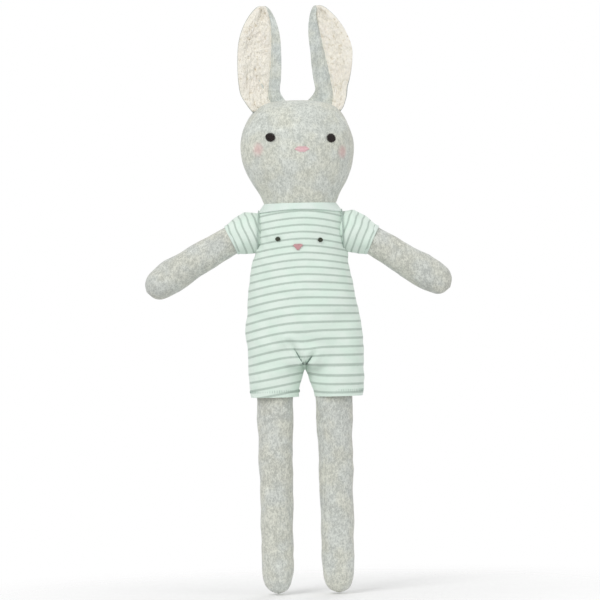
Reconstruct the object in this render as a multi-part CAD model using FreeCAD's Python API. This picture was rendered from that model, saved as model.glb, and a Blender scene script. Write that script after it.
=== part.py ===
import FreeCAD
import Part
import math
import os

# Stuffed bunny doll in a striped romper, in millimetres.
# Z is up from the toes to the ears, the face looks along -Y, and the doll's left is at +X.

Vec = FreeCAD.Vector

# head and its ball-shaped lower end, which turns in the romper's collar
HEAD_PIVOT_Z = 264.0
HEAD_BALL_R = 26.2
HEAD_TOP_Z = 318.5
HEAD_TURN_DEG = 6.0
HEAD_SECTIONS = [  # height, half width, half depth
    (254.5, 23.6, 23.6),
    (258.0, 25.9, 25.0),
    (264.0, 29.6, 26.1),
    (272.0, 33.4, 27.8),
    (280.0, 36.0, 29.2),
    (288.0, 36.8, 29.5),
    (297.0, 35.2, 28.3),
    (306.0, 31.0, 24.6),
    (313.0, 24.4, 18.6),
    (317.0, 16.0, 11.5),
    (HEAD_TOP_Z, 7.0, 5.0),
]

# torso, as the outside of the romper that covers it
TORSO_TOP_Z = 247.8
TORSO_SECTIONS = [
    (118.0, 35.0, 19.5),
    (132.0, 37.4, 21.5),
    (147.0, 38.0, 24.0),
    (170.0, 37.6, 25.5),
    (189.0, 35.9, 25.6),
    (216.0, 30.8, 24.9),
    (235.0, 29.4, 24.7),
    (TORSO_TOP_Z, 27.6, 24.6),
]
BACK_FLAT_Y = 24.8

# fabric thicknesses and clearances
ROMPER_T = 0.9
KNIT_T = 1.0
LAYER_GAP = 0.3
FILL_GAP = 0.1
RUN_GAP = 0.4
TOUCH_GAP = 0.02

# collar and neck
COLLAR_TOP_Z = 251.6
COLLAR_OUT_R = 24.7
NECK_R = 14.0
NECK_BOTTOM_Z = 221.0
NECK_OPENING_R = 20.4
OPENING_REACH = 15.0  # how far the opening's cutter reaches above and below the torso's top
NECK_RAW_H = 40.0  # neck cylinder's height before the head's dish is cut from its top
DISH_ROOM = 0.3

# arms, turning about the shoulder point
SHOULDER_X = 30.5
SHOULDER_Z = 234.0
ARM_DROOP_DEG = 32.0
ARM_AXIS_RISE = 3.6
ARM_LENGTH = 80.5
ARM_R_AT_SLEEVE = 9.2
ARM_R_AT_HAND = 10.4
ARM_ROOT_R = 11.6
ARM_HAND_END = 4.6
ARM_TUBE_ROOT_R = 6.0
SLEEVE_BALL_R = 14.0
SLEEVE_HEM_X = 47.65
SLEEVE_HEM_Z = 227.55
SLEEVE_HEM_R = 10.7
SLEEVE_MOUTH_X = 19.5
HEM_W = 3.0
TAB_IN_R = 11.9
TAB_OUT_R = 12.8
TAB_DEPTH = 2.4
SHOULDER_ROOM = 1.6
ARM_LIMITS_DEG = ((-30, 0), (75, 0), (0, -50), (0, 50), (-30, -50), (75, 50))  # raise, swing

# legs, turning about the hip seam
HIP_X = 19.6
HIP_Z = 150.0
LEG_ROOT_R = 12.2
LEG_SECTIONS = [(5.5, 7.4), (12.0, 9.3), (28.0, 10.1), (60.0, 10.5), (98.0, 11.2), (128.0, 11.8)]
SHORTS_X = 20.0
SHORTS_R = 16.7
SHORTS_HEM_Z = 127.3
SHORTS_HEM_R = 15.9
HIP_CLEAR_R = 17.1
HIP_BACK_DEG = 35.0
GUSSET_HALF_X = 1.2
GUSSET_FRONT_Y = -13.5
GUSSET_BACK_Y = 11.0
GUSSET_LOW_Z = 139.0
GUSSET_HIGH_Z = 162.9

# rounded lower tip of a stuffed limb: where its profile passes on the way up from the tip
TIP_SHARE_R = 0.62
TIP_SHARE_Z = 0.28

# ears, hinged a little above the head's top seam
EAR_X = 22.3
EAR_BASE_Z = 319.0
EAR_LEAN_DEG = 2.4
EAR_CURL_R = 22.0
EAR_BACK_T = 1.4
EAR_LINING_T = 3.2
EAR_OUTLINE = [(0, 8.5), (5, 12.6), (12, 14.2), (24, 14.5), (37, 13.8), (46, 11.6), (54, 7.8), (58.5, 4.4)]
EAR_TIP_V = 61.0
EAR_LINING_SHRINK = 0.8
EAR_LINING_BASE_V = 5.0

# embroidery
EYE_R = 2.85
EYE_X = 19.4
EYE_Z = 293.4
NOSE_Z = 286.4
NOSE_SHAPE = (4.6, 3.2, 2.6, 2.4)  # half width, half top width, drop below and rise above its centre
ROMPER_EYE_R = 1.5
ROMPER_EYE_X = 14.2
ROMPER_EYE_Z = 228.6
ROMPER_NOSE_Z = 223.4
ROMPER_NOSE_SHAPE = (3.0, 2.0, 2.0, 1.8)
FACE_THREAD_T = 0.6
ROMPER_THREAD_T = 0.5
THREAD_LIFT = 0.05

# hook and loop tapes inside the centre-back opening
TAPE_NEAR_X = 0.3
TAPE_FAR_X = 8.0
TAPE_LOW_Z = 205.0
TAPE_HIGH_Z = 236.0

FAR = 200.0
HIGH = 400.0
PARTS = {}


def box(x0, x1, y0, y1, z0, z1):
    return Part.makeBox(x1 - x0, y1 - y0, z1 - z0, Vec(x0, y0, z0))


def front_half():
    return box(-FAR, FAR, -FAR, 0, 0, HIGH)


def back_half():
    return box(-FAR, FAR, 0, FAR, 0, HIGH)


def ball(radius, x, z):
    return Part.makeSphere(radius, Vec(x, 0, z))


def ring_wire(z, half_w, half_d, x=0.0):
    """Horizontal ellipse as a closed spline, so that widths and depths can cross over between sections."""
    count = 24
    points = []
    for i in range(count):
        a = 2 * math.pi * i / count
        points.append(Vec(x + half_w * math.cos(a), half_d * math.sin(a), z))
    curve = Part.BSplineCurve()
    curve.interpolate(Points=points, PeriodicFlag=True)
    return Part.Wire([curve.toShape()])


def loft(sections, inset=0.0, end_inset=0.0):
    """Solid through horizontal ellipses, made smaller by inset all round."""
    wires = []
    last = len(sections) - 1
    for i, (z, half_w, half_d) in enumerate(sections):
        if i == 0:
            z = z + end_inset
        if i == last:
            z = z - end_inset
        wires.append(ring_wire(z, half_w - inset, half_d - inset))
    return Part.makeLoft(wires, True, False)


def revolve(points):
    """Solid of revolution about Z from (radius, height) points, closed along the axis."""
    corners = [Vec(r, 0, z) for r, z in points]
    wire = Part.makePolygon(corners + [corners[0]])
    return Part.Face(wire).revolve(Vec(0, 0, 0), Vec(0, 0, 1), 360)


def limb(sections, tip_z, root_r, root_z, inset=0.0):
    """Stuffed tube along Z with a rounded lower tip and a ball for a root."""
    first_z, first_r = sections[0]
    edge_points = [Vec(r - inset, 0, z) for z, r in sections]
    tip = Vec(0, 0, tip_z + inset)
    tip_curve = Vec((first_r - inset) * TIP_SHARE_R, 0, tip.z + (first_z - tip_z) * TIP_SHARE_Z)
    side = Part.BSplineCurve()
    side.interpolate([tip, tip_curve] + edge_points)
    last_z, last_r = sections[-1]
    top = Vec(0, 0, last_z)
    lid = Part.makeLine(edge_points[-1], top)
    axis = Part.makeLine(top, tip)
    wire = Part.Wire([side.toShape(), lid, axis])
    tube = Part.Face(wire).revolve(Vec(0, 0, 0), Vec(0, 0, 1), 360)
    overlap = 0.5
    upper = revolve([(0, last_z - overlap), (last_r - inset, last_z), (last_r - inset, root_z), (0, root_z)])
    return tube.fuse(upper).fuse(ball(root_r - inset, 0, root_z)).removeSplitter()


def keep(name, shape):
    """Stores a named piece, checking that it is one closed solid."""
    solids = shape.Solids
    if len(solids) > 1:
        solids = sorted(solids, key=lambda s: -s.Volume)
        print(name, "has loose bits:", [round(s.Volume, 3) for s in solids[1:]])
    if not solids or not solids[0].isValid():
        print(name, "is not a valid solid")
    PARTS[name] = solids[0]


def mirrored(shape):
    return shape.mirror(Vec(0, 0, 0), Vec(1, 0, 0))


def half_turned(shape):
    """The other side's copy of a piece that is the same in front and behind."""
    copy = shape.copy()
    copy.rotate(Vec(0, 0, 0), Vec(0, 0, 1), 180)
    return copy


# ---------------------------------------------------------------- head


def head_solid(inset=0.0):
    upper = loft(HEAD_SECTIONS, inset, inset)
    return upper.fuse(ball(HEAD_BALL_R - inset, 0, HEAD_PIVOT_Z))


def surface_patch(outer, inner, outline, y_far):
    """Raised embroidery: the layer between two surfaces inside an outline drawn in the XZ plane."""
    return outline.extrude(Vec(0, y_far, 0)).common(outer).cut(inner)


def disc_face(radius, x, z):
    return Part.Face(Part.Wire([Part.makeCircle(radius, Vec(x, 0, z), Vec(0, 1, 0))]))


def nose_face(z, half_w, half_top, drop, rise):
    """Six-sided nose outline with its narrow end down."""
    shoulder_z = rise * 0.3
    half_low = half_w * 0.35
    points = [
        (-half_top, rise),
        (half_top, rise),
        (half_w, shoulder_z),
        (half_low, -drop),
        (-half_low, -drop),
        (-half_w, shoulder_z),
    ]
    corners = [Vec(x, 0, z + dz) for x, dz in points]
    return Part.Face(Part.makePolygon(corners + [corners[0]]))


def make_head():
    outer = head_solid()
    skin = outer.cut(head_solid(KNIT_T))
    keep("head_front", skin.common(front_half()))
    keep("head_back", skin.common(back_half()))
    keep("head_stuffing", head_solid(KNIT_T + FILL_GAP))
    raised = head_solid(-FACE_THREAD_T)
    start = head_solid(-THREAD_LIFT)
    for side, x in (("left", EYE_X), ("right", -EYE_X)):
        outline = disc_face(EYE_R, x, EYE_Z)
        keep("eye_" + side, surface_patch(raised, start, outline, -FAR))
    keep("nose", surface_patch(raised, start, nose_face(NOSE_Z, *NOSE_SHAPE), -FAR))


# ---------------------------------------------------------------- ears


def ear_outline_face(shrink, base_v):
    side = [Vec(w - shrink, 0, max(v, base_v)) for v, w in EAR_OUTLINE if v >= base_v]
    points = side + [Vec(0, 0, EAR_TIP_V - shrink)] + [Vec(-p.x, 0, p.z) for p in reversed(side)]
    curve = Part.BSplineCurve()
    curve.interpolate(points)
    base = Part.makeLine(points[-1], points[0])
    return Part.Face(Part.Wire([curve.toShape(), base]))


def curl_shell(r_in, r_out):
    """Upright tube wall whose back part gives an ear its sideways curl."""
    below = 20
    height = below + EAR_TIP_V + 40
    centre = Vec(0, -EAR_CURL_R, -below)
    return Part.makeCylinder(r_out, height, centre).cut(Part.makeCylinder(r_in, height, centre))


def ear_piece(shrink, base_v, r_in, r_out):
    slab = ear_outline_face(shrink, base_v).extrude(Vec(0, -FAR, 0))
    slab.translate(Vec(0, FAR / 2, 0))
    piece = slab.common(curl_shell(r_in, r_out)).common(box(-FAR, FAR, -EAR_CURL_R, FAR, -FAR, FAR))
    piece.rotate(Vec(0, 0, 0), Vec(0, 1, 0), -EAR_LEAN_DEG)
    piece.translate(Vec(EAR_X, 0, EAR_BASE_Z))
    return piece


def make_ears():
    back = ear_piece(0.0, 0.0, EAR_CURL_R, EAR_CURL_R + EAR_BACK_T)
    lining = ear_piece(EAR_LINING_SHRINK, EAR_LINING_BASE_V, EAR_CURL_R - EAR_LINING_T, EAR_CURL_R - FILL_GAP)
    keep("ear_left_back", back)
    keep("ear_left_lining", lining)
    keep("ear_right_back", mirrored(back))
    keep("ear_right_lining", mirrored(lining))


# ---------------------------------------------------------------- neck and torso


def head_dish(gap):
    return ball(HEAD_BALL_R + gap, 0, HEAD_PIVOT_Z)


def make_neck():
    column = Part.makeCylinder(NECK_R, NECK_RAW_H, Vec(0, 0, NECK_BOTTOM_Z)).cut(head_dish(RUN_GAP))
    core = Part.makeCylinder(NECK_R - KNIT_T, NECK_RAW_H, Vec(0, 0, NECK_BOTTOM_Z + KNIT_T))
    keep("neck_skin", column.cut(core))
    fill_gap = KNIT_T + FILL_GAP
    fill = Part.makeCylinder(NECK_R - fill_gap, NECK_RAW_H, Vec(0, 0, NECK_BOTTOM_Z + fill_gap))
    keep("neck_stuffing", fill.cut(head_dish(RUN_GAP)))


def hip_clearance(grow=0.0):
    """Room that the legs and shorts sweep as they swing: flat in front, sloping behind."""
    radius = HIP_CLEAR_R + grow
    back = math.radians(HIP_BACK_DEG)
    mid = math.radians((90 + HIP_BACK_DEG) / 2)
    side_x = 50
    front_y = -60
    slope_length = 80

    def rim(angle):
        return Vec(-side_x, radius * math.cos(angle), HIP_Z + radius * math.sin(angle))

    top = Vec(-side_x, 0, HIP_Z + radius)
    slope_start = rim(back)
    slope_end = slope_start + Vec(0, math.sin(back), -math.cos(back)) * slope_length
    front_top = Vec(-side_x, front_y, HIP_Z + radius)
    front_low = Vec(-side_x, front_y, slope_end.z)
    edges = [
        Part.makeLine(front_top, top),
        Part.Arc(top, rim(mid), slope_start).toShape(),
        Part.makeLine(slope_start, slope_end),
        Part.makeLine(slope_end, front_low),
        Part.makeLine(front_low, front_top),
    ]
    return Part.Face(Part.Wire(edges)).extrude(Vec(2 * side_x, 0, 0))


def shoulder_room(gap):
    """Room round both shoulders for the sleeves at rest and at the limits of their joints."""
    room = ball(SLEEVE_BALL_R + gap, SHOULDER_X, SHOULDER_Z)
    sleeve = sleeve_solid(-gap, 0.0)
    shoulder = Vec(SHOULDER_X, 0, SHOULDER_Z)
    for raise_deg, swing_deg in ARM_LIMITS_DEG:
        posed = sleeve.copy()
        posed.rotate(shoulder, Vec(0, -1, 0), raise_deg)
        posed.rotate(shoulder, Vec(0, 0, -1), swing_deg)
        room = room.fuse(posed)
    return room.fuse(mirrored(room))


def torso_solid(inset, top_inset, bottom_grow):
    body = loft(TORSO_SECTIONS, inset, 0.0)
    trim = box(-FAR, FAR, BACK_FLAT_Y - inset, FAR, 0, HIGH)
    lid = box(-FAR, FAR, -FAR, FAR, TORSO_TOP_Z - top_inset, HIGH)
    return body.cut(trim).cut(lid).cut(hip_clearance(bottom_grow))


def make_torso():
    skin_in = ROMPER_T + LAYER_GAP
    fill_in = skin_in + KNIT_T + FILL_GAP
    room = shoulder_room(SHOULDER_ROOM)
    outer = torso_solid(skin_in, skin_in, LAYER_GAP)
    core = torso_solid(skin_in + KNIT_T, skin_in + KNIT_T, LAYER_GAP + KNIT_T)
    open_top = Part.makeCylinder(NECK_OPENING_R, 2 * OPENING_REACH, Vec(0, 0, TORSO_TOP_Z - OPENING_REACH))
    skin = outer.cut(core).cut(open_top).cut(head_dish(RUN_GAP)).cut(room)
    keep("torso_front", skin.common(front_half()))
    keep("torso_back", skin.common(back_half()))
    neck_room = Part.makeCylinder(NECK_R + LAYER_GAP, NECK_RAW_H, Vec(0, 0, NECK_BOTTOM_Z - LAYER_GAP))
    fill = torso_solid(fill_in, fill_in, LAYER_GAP + KNIT_T + FILL_GAP)
    keep("torso_stuffing", fill.cut(neck_room).cut(head_dish(RUN_GAP + DISH_ROOM)).cut(room))


# ---------------------------------------------------------------- romper


def make_romper_body():
    outer = torso_solid(0.0, 0.0, 0.0)
    hollow = loft(TORSO_SECTIONS, ROMPER_T)
    hollow = hollow.common(box(-FAR, FAR, -FAR, BACK_FLAT_Y - ROMPER_T, 0, TORSO_TOP_Z - ROMPER_T))
    shell = outer.cut(hollow)
    shell = shell.cut(head_dish(RUN_GAP)).cut(shoulder_room(RUN_GAP))
    keep("romper_front", shell.common(front_half()))
    back = shell.common(back_half())
    keep("romper_back_left", back.common(box(TOUCH_GAP, FAR, 0, FAR, 0, HIGH)))
    keep("romper_back_right", back.common(box(-FAR, -TOUCH_GAP, 0, FAR, 0, HIGH)))
    band = Part.makeCylinder(COLLAR_OUT_R, COLLAR_TOP_Z - TORSO_TOP_Z, Vec(0, 0, TORSO_TOP_Z))
    keep("romper_neckband", band.cut(head_dish(RUN_GAP)).cut(shoulder_room(RUN_GAP)))
    gusset = box(-GUSSET_HALF_X, GUSSET_HALF_X, GUSSET_FRONT_Y, GUSSET_BACK_Y, GUSSET_LOW_Z, GUSSET_HIGH_Z)
    keep("romper_gusset", gusset)
    raised = loft(TORSO_SECTIONS, -ROMPER_THREAD_T)
    start = loft(TORSO_SECTIONS, -THREAD_LIFT)
    for side, x in (("left", ROMPER_EYE_X), ("right", -ROMPER_EYE_X)):
        outline = disc_face(ROMPER_EYE_R, x, ROMPER_EYE_Z)
        keep("romper_eye_" + side, surface_patch(raised, start, outline, -FAR))
    keep("romper_nose", surface_patch(raised, start, nose_face(ROMPER_NOSE_Z, *ROMPER_NOSE_SHAPE), -FAR))


def make_closure():
    """Hook and loop tapes on the inside of the centre-back opening, one on each edge."""
    inside = loft(TORSO_SECTIONS, ROMPER_T + TOUCH_GAP)
    deeper = loft(TORSO_SECTIONS, ROMPER_T + LAYER_GAP - TOUCH_GAP)
    layer = inside.cut(deeper).common(box(-FAR, FAR, 0, BACK_FLAT_Y - ROMPER_T - TOUCH_GAP, 0, HIGH))
    hook = layer.common(box(TAPE_NEAR_X, TAPE_FAR_X, 0, FAR, TAPE_LOW_Z, TAPE_HIGH_Z))
    keep("closure_hook_tape", hook)
    keep("closure_loop_tape", mirrored(hook))


def shorts_tube(inset, z_low, z_high=HIP_Z):
    """Tapered tube round one thigh; the taper runs on in a straight line below the hem."""
    slope = (SHORTS_R - SHORTS_HEM_R) / (HIP_Z - SHORTS_HEM_Z)
    r_low = SHORTS_R - (HIP_Z - z_low) * slope - inset
    r_high = SHORTS_R - (HIP_Z - z_high) * slope - inset
    return Part.makeCone(r_low, r_high, z_high - z_low, Vec(SHORTS_X, 0, z_low))


def make_shorts_leg():
    hem_top = SHORTS_HEM_Z + HEM_W
    outer = ball(SHORTS_R, SHORTS_X, HIP_Z).fuse(shorts_tube(0.0, hem_top))
    hollow = ball(SHORTS_R - ROMPER_T, SHORTS_X, HIP_Z).fuse(shorts_tube(ROMPER_T, SHORTS_HEM_Z - HEM_W))
    leg = outer.cut(hollow).common(box(-FAR, FAR, -FAR, FAR, hem_top, HIGH))
    hem = shorts_tube(0.0, SHORTS_HEM_Z, hem_top).cut(shorts_tube(ROMPER_T, SHORTS_HEM_Z - HEM_W))
    keep("romper_leg_left", leg)
    keep("romper_leg_right", half_turned(leg))
    keep("leg_hem_left", hem)
    keep("leg_hem_right", half_turned(hem))


# ---------------------------------------------------------------- arms


def arm_solid(inset):
    """Arm along its own axis, then tipped into place; the root ball sits on the shoulder point."""
    wrist = ARM_R_AT_HAND - ARM_LENGTH
    sections = [
        (wrist + 5.0, ARM_R_AT_HAND * 0.93),
        (wrist + 12.0, ARM_R_AT_HAND),
        (wrist + 30.0, ARM_R_AT_HAND - 0.3),
        (-24.0, ARM_R_AT_SLEEVE),
    ]
    tube = limb(sections, wrist - ARM_HAND_END, ARM_TUBE_ROOT_R, 0.0, inset)
    tube.rotate(Vec(0, 0, 0), Vec(0, 1, 0), -(90 - ARM_DROOP_DEG))
    droop = math.radians(ARM_DROOP_DEG)
    shift = Vec(math.sin(droop), 0, math.cos(droop)) * ARM_AXIS_RISE
    tube.translate(Vec(SHOULDER_X, 0, SHOULDER_Z) + shift)
    return tube.fuse(ball(ARM_ROOT_R - inset, SHOULDER_X, SHOULDER_Z))


def sleeve_solid(inset, reach):
    """Sleeve: a ball on the shoulder point, lofted to the round hem; reach runs it on past the hem."""
    hem = Vec(SLEEVE_HEM_X, 0, SLEEVE_HEM_Z)
    root = Vec(SHOULDER_X, 0, SHOULDER_Z)
    droop = math.radians(ARM_DROOP_DEG)
    out = Vec(math.cos(droop), 0, -math.sin(droop))
    start = Part.makeCircle(SLEEVE_BALL_R - inset, root, (hem - root).normalize())
    end = Part.makeCircle(SLEEVE_HEM_R - inset, hem, out)
    cone = Part.makeLoft([Part.Wire([start]), Part.Wire([end])], True, True)
    solid = cone.fuse(ball(SLEEVE_BALL_R - inset, SHOULDER_X, SHOULDER_Z))
    if reach > 0:
        overlap = 0.2
        solid = solid.fuse(Part.makeCylinder(SLEEVE_HEM_R - inset, reach, hem - out * overlap, out))
    return solid


def make_arms():
    outer = arm_solid(0.0)
    skin = outer.cut(arm_solid(KNIT_T))
    fill = arm_solid(KNIT_T + FILL_GAP)
    mouth = box(-FAR, SLEEVE_MOUTH_X, -FAR, FAR, 0, HIGH)
    sleeve = sleeve_solid(0.0, 0.0).cut(sleeve_solid(ROMPER_T, 5.0)).cut(mouth)
    droop = math.radians(ARM_DROOP_DEG)
    out = Vec(math.cos(droop), 0, -math.sin(droop))
    hem_start = Vec(SLEEVE_HEM_X, 0, SLEEVE_HEM_Z) - out * HEM_W
    beyond_hem = Part.makeCylinder(40, 40, hem_start, out)
    hem = Part.makeCylinder(SLEEVE_HEM_R, HEM_W, hem_start, out)
    hem = hem.cut(Part.makeCylinder(SLEEVE_HEM_R - ROMPER_T, HEM_W, hem_start, out))
    tab = ball(TAB_OUT_R, SHOULDER_X, SHOULDER_Z).cut(ball(TAB_IN_R, SHOULDER_X, SHOULDER_Z))
    tab = tab.common(box(0, SHOULDER_X - TAB_OUT_R + TAB_DEPTH, -FAR, FAR, 0, HIGH))
    left = {
        "arm_left_skin": skin,
        "arm_left_stuffing": fill,
        "arm_left_tab": tab,
        "romper_sleeve_left": sleeve.cut(beyond_hem),
        "sleeve_hem_left": hem,
    }
    for name, shape in left.items():
        keep(name, shape)
        keep(name.replace("left", "right"), half_turned(shape))


# ---------------------------------------------------------------- legs


def leg_solid(inset):
    leg = limb(LEG_SECTIONS, 0.0, LEG_ROOT_R, HIP_Z, inset)
    leg.translate(Vec(HIP_X, 0, 0))
    return leg


def make_legs():
    skin = leg_solid(0.0).cut(leg_solid(KNIT_T))
    fill = leg_solid(KNIT_T + FILL_GAP)
    for name, shape in (("leg_left_skin", skin), ("leg_left_stuffing", fill)):
        keep(name, shape)
        keep(name.replace("left", "right"), half_turned(shape))


make_head()
make_ears()
make_neck()
make_torso()
make_romper_body()
make_closure()
make_shorts_leg()
make_arms()
make_legs()

HEAD_NODES = ("head_", "eye_", "nose", "ear_")
os.makedirs("parts", exist_ok=True)
for name, shape in PARTS.items():
    if name.startswith(HEAD_NODES):
        shape.rotate(Vec(0, 0, 0), Vec(0, 0, 1), HEAD_TURN_DEG)
    shape.exportStep("parts/" + name + ".step")
print(len(PARTS), "parts")
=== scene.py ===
from math import copysign, cos, exp, hypot, pi, radians, sin, sqrt
import bpy
import bmesh
from mathutils import Matrix, Vector, noise
from mathutils.bvhtree import BVHTree
from mathutils.kdtree import KDTree


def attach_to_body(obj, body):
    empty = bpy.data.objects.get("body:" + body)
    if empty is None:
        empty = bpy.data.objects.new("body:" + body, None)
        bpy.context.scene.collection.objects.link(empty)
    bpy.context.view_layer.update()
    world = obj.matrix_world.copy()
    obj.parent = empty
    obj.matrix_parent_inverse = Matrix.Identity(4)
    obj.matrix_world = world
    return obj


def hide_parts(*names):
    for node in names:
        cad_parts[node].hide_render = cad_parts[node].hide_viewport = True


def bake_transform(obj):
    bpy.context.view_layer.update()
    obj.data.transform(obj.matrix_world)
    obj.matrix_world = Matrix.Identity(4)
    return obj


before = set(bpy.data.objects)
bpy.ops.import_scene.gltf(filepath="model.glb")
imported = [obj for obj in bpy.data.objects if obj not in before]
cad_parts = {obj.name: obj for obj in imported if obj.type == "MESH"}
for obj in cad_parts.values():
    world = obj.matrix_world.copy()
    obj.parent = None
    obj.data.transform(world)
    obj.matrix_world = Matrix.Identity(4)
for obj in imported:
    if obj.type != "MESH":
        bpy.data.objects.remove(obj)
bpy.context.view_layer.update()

# ---- driving sizes, in millimetres

MM = 0.001
SIDES = (("left", 1), ("right", -1))
HEAD_PIVOT_Z = 264.0
HEAD_BALL_R = 26.2
HEAD_TURN = radians(6.0)
HEAD_LOW_Z = 243.0
HEAD_PROFILE = [  # height, half width, half depth
    (252, 23.3, 23.3), (257, 25.4, 25.1), (262, 28.3, 26.1), (267, 31.2, 27.0), (273, 34.0, 28.2),
    (280, 36.2, 29.2), (287, 36.9, 29.5), (294, 36.2, 28.9), (301, 34.2, 27.0), (307, 31.2, 24.2),
    (312, 27.4, 20.4), (315.5, 22.4, 15.8), (317.6, 15.6, 10.6), (318.6, 8.0, 5.4),
]
EYE_X, EYE_Z, EYE_R = 19.4, 293.4, 2.9
NOSE_Z = 285.7
CHEEK_X, CHEEK_Z, CHEEK_R = 27.4, 285.2, 4.3

TORSO_PROFILE = [  # height, half width, half depth: outside of the romper
    (132, 37.6, 17.5), (147, 38.2, 20.2), (158, 38.0, 22.6), (170, 37.7, 24.6), (189, 36.0, 25.6),
    (204, 33.4, 25.3), (216, 31.0, 24.9), (228, 29.8, 24.7), (238, 29.4, 24.7), (244, 28.4, 24.7),
    (247.5, 26.6, 24.5), (249.3, 24.6, 23.9),
]
COLLAR_TOP_Z = 251.8
STRIPE_PITCH_CHEST, STRIPE_PITCH_HIP = 4.45, 5.4
STRIPE_START = 246.6

SHOULDER = Vector((30.5, 0, 234.0))
SLEEVE_BALL_R = 14.0
ARMHOLE_X = 27.3
LIMB_SHIFT = 2.0  # sleeves at the armhole, and legs, follow the lean of the clothes by this much
SLEEVE_HEMS = {"left": Vector((48.4, 0, 227.1)), "right": Vector((43.0, 0, 229.0))}
SLEEVE_HEM_R = 10.1
HEM_TILT = radians(25.0)
ARM_DROOPS = {"left": radians(32.0), "right": radians(30.4)}
ARM_RISES = {"left": 3.3, "right": 2.3}
ARM_LENGTH = 77.4
ARM_PROFILE = [  # distance from the hand's tip, radius
    (0.0, 0.0), (0.5, 2.8), (2.0, 5.7), (5.5, 8.5), (11, 10.2), (19, 10.7), (30, 10.5), (46, 9.6),
    (58, 9.15), (76, 9.1), (85, 6.5), (88, 2.0), (88.5, 0.0),
]

HIP = Vector((19.6, 0, 150.0))
SHORTS_HEM_X, SHORTS_HEM_Z = 20.6, 127.3
SHORTS_BAND_R = 15.2
CROTCH_Z = 146.0
CROTCH_CREASES = ((-9.5, 163.0, -1.6, 147.5, 3.0), (5.6, 155.5, -0.2, 147.8, 2.8))  # x, z of both ends, depth
HIP_LINE_Z = 181.0
HIP_BEND = ((0, 0, 0.172), (0, 0, 0.134))  # in metres; read, but no piece is moved by it
LEG_PROFILE = [  # height above the toe, radius
    (0.0, 0.0), (0.5, 2.6), (2.0, 5.4), (5.5, 8.0), (11, 9.7), (20, 10.3), (40, 10.5), (70, 10.8),
    (98, 11.3), (125, 11.9), (150, 12.0), (158, 9.5), (161.5, 4.0), (162, 0.0),
]
MELT_VOXEL = 1.25
CLOTH_VOXEL = 4.5
CLOTH_PRESSURE = 4.0
CLOTH_FRAMES = 20
CLOTH_CAP = 1.2  # the furthest that the cloth may move a point

EAR_X, EAR_BASE_Z = 22.3, 319.0
EAR_CURL = 1.2
EAR_PROFILE = [  # height above the ear's root, half width
    (-9, 8.0), (-4, 10.4), (2, 12.8), (8, 14.2), (16, 14.9), (26, 14.9), (37, 14.0), (46, 11.8),
    (53, 8.6), (57, 6.0), (59.4, 3.9), (60.6, 2.2), (61.0, 0.6),
]

SLUMP = [  # height, sideways lean of clothes and head
    (127.0, 3.6), (145.0, 3.9), (170.0, 2.5), (205.0, 1.5), (228.0, 1.8), (248.0, 2.0), (258.0, 2.0),
    (272.0, 1.4), (288.0, 0.9), (320.0, 0.8),
]

AMBIENT = 0.66
KEY_POWER = 17.0

# ---- small helpers


def lerp_table(table, at):
    """Smooth (Catmull-Rom) reading of a table whose first column rises."""
    if at <= table[0][0]:
        return table[0][1:]
    if at >= table[-1][0]:
        return table[-1][1:]
    i = max(k for k in range(len(table) - 1) if table[k][0] <= at)
    p = [table[max(i - 1, 0)], table[i], table[i + 1], table[min(i + 2, len(table) - 1)]]
    t = (at - p[1][0]) / (p[2][0] - p[1][0])
    span = p[2][0] - p[1][0]
    out = []
    for c in range(1, len(p[0])):
        m1 = (p[2][c] - p[0][c]) / max(p[2][0] - p[0][0], 1e-6) * span
        m2 = (p[3][c] - p[1][c]) / max(p[3][0] - p[1][0], 1e-6) * span
        t2, t3 = t * t, t * t * t
        out.append((2 * t3 - 3 * t2 + 1) * p[1][c] + (t3 - 2 * t2 + t) * m1 + (3 * t2 - 2 * t3) * p[2][c]
                   + (t3 - t2) * m2)
    return tuple(out)


def slumped(p):
    """The doll lies a little crooked: clothes and head sit off its centre line, by height."""
    return Vector((p[0] + lerp_table(SLUMP, p[2])[0], p[1], p[2]))


def share(value):
    """Value held between 0 and 1."""
    return min(1.0, max(0.0, value))


def bell(off, width):
    """Smooth bump: 1 where off is 0, fading over the width."""
    return exp(-(off / width) ** 2)


def bumps(point, size, depth, seed=0.0):
    """Smooth random offset in millimetres for a point in millimetres."""
    return noise.noise(Vector(point) / size + Vector((seed, seed * 0.7, -seed))) * depth


def frange(low, high, step):
    count = max(1, int(round((high - low) / step)))
    return [low + (high - low) * i / count for i in range(count + 1)]


def angles(count):
    return [2 * pi * i / count for i in range(count)]


def bare_object(name, verts, faces):
    """Object in metres from millimetre points."""
    mesh = bpy.data.meshes.new(name)
    mesh.from_pydata([tuple(Vector(v) * MM) for v in verts], [], faces)
    mesh.update()
    return object_of(name, mesh)


def new_object(name, verts, faces, material, stripes=None):
    """Object with its material, carrying its rest place and its stripe coordinate."""
    obj = bare_object(name, verts, faces)
    finish_mesh(obj, material, stripes)
    return obj


def finish_mesh(obj, material, stripes=None):
    mesh = obj.data
    rest = mesh.attributes.new("rest", "FLOAT_VECTOR", "POINT")
    for i, v in enumerate(mesh.vertices):
        rest.data[i].vector = v.co / MM
    if stripes is not None:
        band = mesh.attributes.new("stripe", "FLOAT", "POINT")
        for i, v in enumerate(mesh.vertices):
            band.data[i].value = stripes(v.co / MM)
    mesh.materials.clear()
    mesh.materials.append(material)
    for polygon in mesh.polygons:
        polygon.use_smooth = True
    slot = material.name.split(".")[0]
    SLOT_OF.get(slot, slot)


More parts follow.
